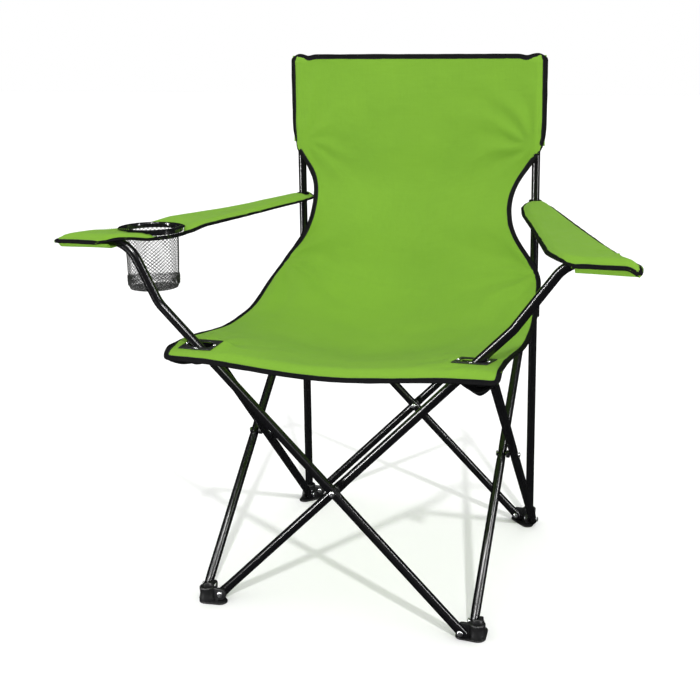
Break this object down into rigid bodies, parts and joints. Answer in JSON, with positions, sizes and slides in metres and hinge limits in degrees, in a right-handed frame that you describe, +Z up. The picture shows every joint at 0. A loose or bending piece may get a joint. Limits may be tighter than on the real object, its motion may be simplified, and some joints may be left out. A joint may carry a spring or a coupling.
{
  "type": "folding camp chair",
  "caption": "Quad-folding camp chair: scissor tube frame, fabric sling seat and back, fabric armrests, one with a mesh cup holder.",
  "frame": {"origin": "on the floor, in the middle of the overall width and depth", "axes": "+X to the sitter's left, across the chair; +Y to the rear; +Z up; the sitter faces -Y"},
  "size_m": [0.8734, 0.5, 0.8471],
  "materials": {
    "frame_tube": "glossy black powder-coated steel tube, showing thin highlights",
    "plastic_fittings": "satin black moulded nylon feet, sliders, brackets, caps and spacers",
    "rivets": "bright zinc-plated domed rivets",
    "sling_fabric": "lime green plain-weave coated polyester with black bias binding",
    "seat_plates": "thin satin black reinforcing plates",
    "cup_ring": "glossy black moulded ring",
    "cup_mesh": "black open polyester mesh"
  },
  "bodies": {
    "rear_left_post": {"foot_rear_left": "plastic_fittings", "rivet_foot_rear_left_outer": "rivets", "rivet_foot_rear_left_inner": "rivets", "post_left": "frame_tube", "post_cap_left": "plastic_fittings", "back_panel": "sling_fabric", "seat_panel": "sling_fabric"},
    "rear_outer": {"rear_tube_outer": "frame_tube", "rivet_crossing_rear": "rivets", "spacer_rear": "plastic_fittings"},
    "rear_inner": {"rear_tube_inner": "frame_tube"},
    "rear_right_post": {"foot_rear_right": "plastic_fittings", "rivet_foot_rear_right_outer": "rivets", "rivet_foot_rear_right_inner": "rivets", "post_right": "frame_tube", "post_cap_right": "plastic_fittings"},
    "left_slider": {"slider_left": "plastic_fittings", "rivet_top_rear_left_outer": "rivets", "rivet_top_rear_left_inner": "rivets"},
    "right_slider": {"slider_right": "plastic_fittings", "rivet_top_rear_right_outer": "rivets", "rivet_top_rear_right_inner": "rivets"},
    "left_inner": {"left_tube_inner": "frame_tube"},
    "left_outer": {"left_tube_outer": "frame_tube", "rivet_crossing_left": "rivets", "spacer_left": "plastic_fittings"},
    "front_left_foot": {"foot_front_left": "plastic_fittings", "rivet_foot_front_left_outer": "rivets", "rivet_foot_front_left_inner": "rivets"},
    "left_bracket": {"bracket_left": "plastic_fittings", "rivet_top_front_left_outer": "rivets", "rivet_top_front_left_inner": "rivets", "seat_plate_left": "seat_plates"},
    "right_outer": {"right_tube_outer": "frame_tube", "rivet_crossing_right": "rivets", "spacer_right": "plastic_fittings"},
    "right_inner": {"right_tube_inner": "frame_tube"},
    "front_right_foot": {"foot_front_right": "plastic_fittings", "rivet_foot_front_right_outer": "rivets", "rivet_foot_front_right_inner": "rivets"},
    "right_bracket": {"bracket_right": "plastic_fittings", "rivet_top_front_right_outer": "rivets", "rivet_top_front_right_inner": "rivets", "seat_plate_right": "seat_plates"},
    "front_outer": {"front_tube_outer": "frame_tube", "rivet_crossing_front": "rivets", "spacer_front": "plastic_fittings", "arm_cap_left": "plastic_fittings", "armrest_left": "sling_fabric"},
    "front_inner": {"front_tube_inner": "frame_tube", "arm_cap_right": "plastic_fittings", "armrest_right": "sling_fabric"},
    "cup_holder": {"cup_ring": "cup_ring", "cup_mesh": "cup_mesh"}
  },
  "joints": [
    {"name": "fold", "type": "hinge", "parent": "rear_left_post", "child": "rear_outer", "pos_m": [-0.1947, 0.23965, 0.0135], "axis": [0, -1, 0], "range_deg": [0, 41], "deforming": ["seat_panel", "back_panel", "armrest_left", "armrest_right"]},
    {"name": "rear_crossing", "type": "hinge", "parent": "rear_outer", "child": "rear_inner", "pos_m": [0, 0.22945, 0.20675], "axis": [0, 1, 0], "range_deg": [0, 82]},
    {"name": "rear_right_foot_pivot", "type": "hinge", "parent": "rear_inner", "child": "rear_right_post", "pos_m": [0.1947, 0.21925, 0.0135], "axis": [0, -1, 0], "range_deg": [0, 41]},
    {"name": "right_slider_pivot", "type": "hinge", "parent": "rear_outer", "child": "right_slider", "pos_m": [0.1947, 0.23965, 0.4], "axis": [0, 1, 0], "range_deg": [0, 41]},
    {"name": "left_slider_pivot", "type": "hinge", "parent": "rear_inner", "child": "left_slider", "pos_m": [-0.1947, 0.21925, 0.4], "axis": [0, -1, 0], "range_deg": [0, 41]},
    {"name": "rear_left_foot_pivot", "type": "hinge", "parent": "rear_left_post", "child": "left_inner", "pos_m": [-0.207, 0.20695, 0.0135], "axis": [-1, 0, 0], "range_deg": [0, 41]},
    {"name": "left_crossing", "type": "hinge", "parent": "left_inner", "child": "left_outer", "pos_m": [-0.2172, 0.01225, 0.20675], "axis": [1, 0, 0], "range_deg": [0, 82]},
    {"name": "front_left_foot_pivot", "type": "hinge", "parent": "left_outer", "child": "front_left_foot", "pos_m": [-0.2274, -0.18245, 0.0135], "axis": [-1, 0, 0], "range_deg": [0, 41]},
    {"name": "left_bracket_pivot", "type": "hinge", "parent": "left_inner", "child": "left_bracket", "pos_m": [-0.207, -0.18245, 0.4], "axis": [1, 0, 0], "range_deg": [0, 41]},
    {"name": "rear_right_side_pivot", "type": "hinge", "parent": "rear_right_post", "child": "right_outer", "pos_m": [0.2274, 0.20695, 0.0135], "axis": [-1, 0, 0], "range_deg": [0, 41]},
    {"name": "right_crossing", "type": "hinge", "parent": "right_outer", "child": "right_inner", "pos_m": [0.2172, 0.01225, 0.20675], "axis": [1, 0, 0], "range_deg": [0, 82]},
    {"name": "front_right_foot_pivot", "type": "hinge", "parent": "right_inner", "child": "front_right_foot", "pos_m": [0.207, -0.18245, 0.0135], "axis": [-1, 0, 0], "range_deg": [0, 41]},
    {"name": "right_bracket_pivot", "type": "hinge", "parent": "right_outer", "child": "right_bracket", "pos_m": [0.2274, -0.18245, 0.4], "axis": [1, 0, 0], "range_deg": [0, 41]},
    {"name": "front_right_arm_pivot", "type": "hinge", "parent": "front_right_foot", "child": "front_outer", "pos_m": [0.1947, -0.21515, 0.0135], "axis": [0, 1, 0], "range_deg": [0, 41]},
    {"name": "front_left_arm_pivot", "type": "hinge", "parent": "front_left_foot", "child": "front_inner", "pos_m": [-0.1947, -0.19475, 0.0135], "axis": [0, -1, 0], "range_deg": [0, 41]},
    {"name": "cup_swing", "type": "hinge", "parent": "front_outer", "child": "cup_holder", "pos_m": [-0.40498, -0.21515, 0.57053], "axis": [0, 1, 0], "range_deg": [0, 59.55]}
  ],
  "couplings": [
    {"joint": "rear_crossing", "follows": "fold", "ratio": 2},
    {"joint": "rear_right_foot_pivot", "follows": "fold", "ratio": 1},
    {"joint": "right_slider_pivot", "follows": "fold", "ratio": 1},
    {"joint": "left_slider_pivot", "follows": "fold", "ratio": 1},
    {"joint": "rear_left_foot_pivot", "follows": "fold", "ratio": 1},
    {"joint": "left_crossing", "follows": "fold", "ratio": 2},
    {"joint": "front_left_foot_pivot", "follows": "fold", "ratio": 1},
    {"joint": "left_bracket_pivot", "follows": "fold", "ratio": 1},
    {"joint": "rear_right_side_pivot", "follows": "fold", "ratio": 1},
    {"joint": "right_crossing", "follows": "fold", "ratio": 2},
    {"joint": "front_right_foot_pivot", "follows": "fold", "ratio": 1},
    {"joint": "right_bracket_pivot", "follows": "fold", "ratio": 1},
    {"joint": "front_right_arm_pivot", "follows": "fold", "ratio": 1},
    {"joint": "front_left_arm_pivot", "follows": "fold", "ratio": 1},
    {"joint": "cup_swing", "follows": "fold", "ratio": 1.4524}
  ]
}
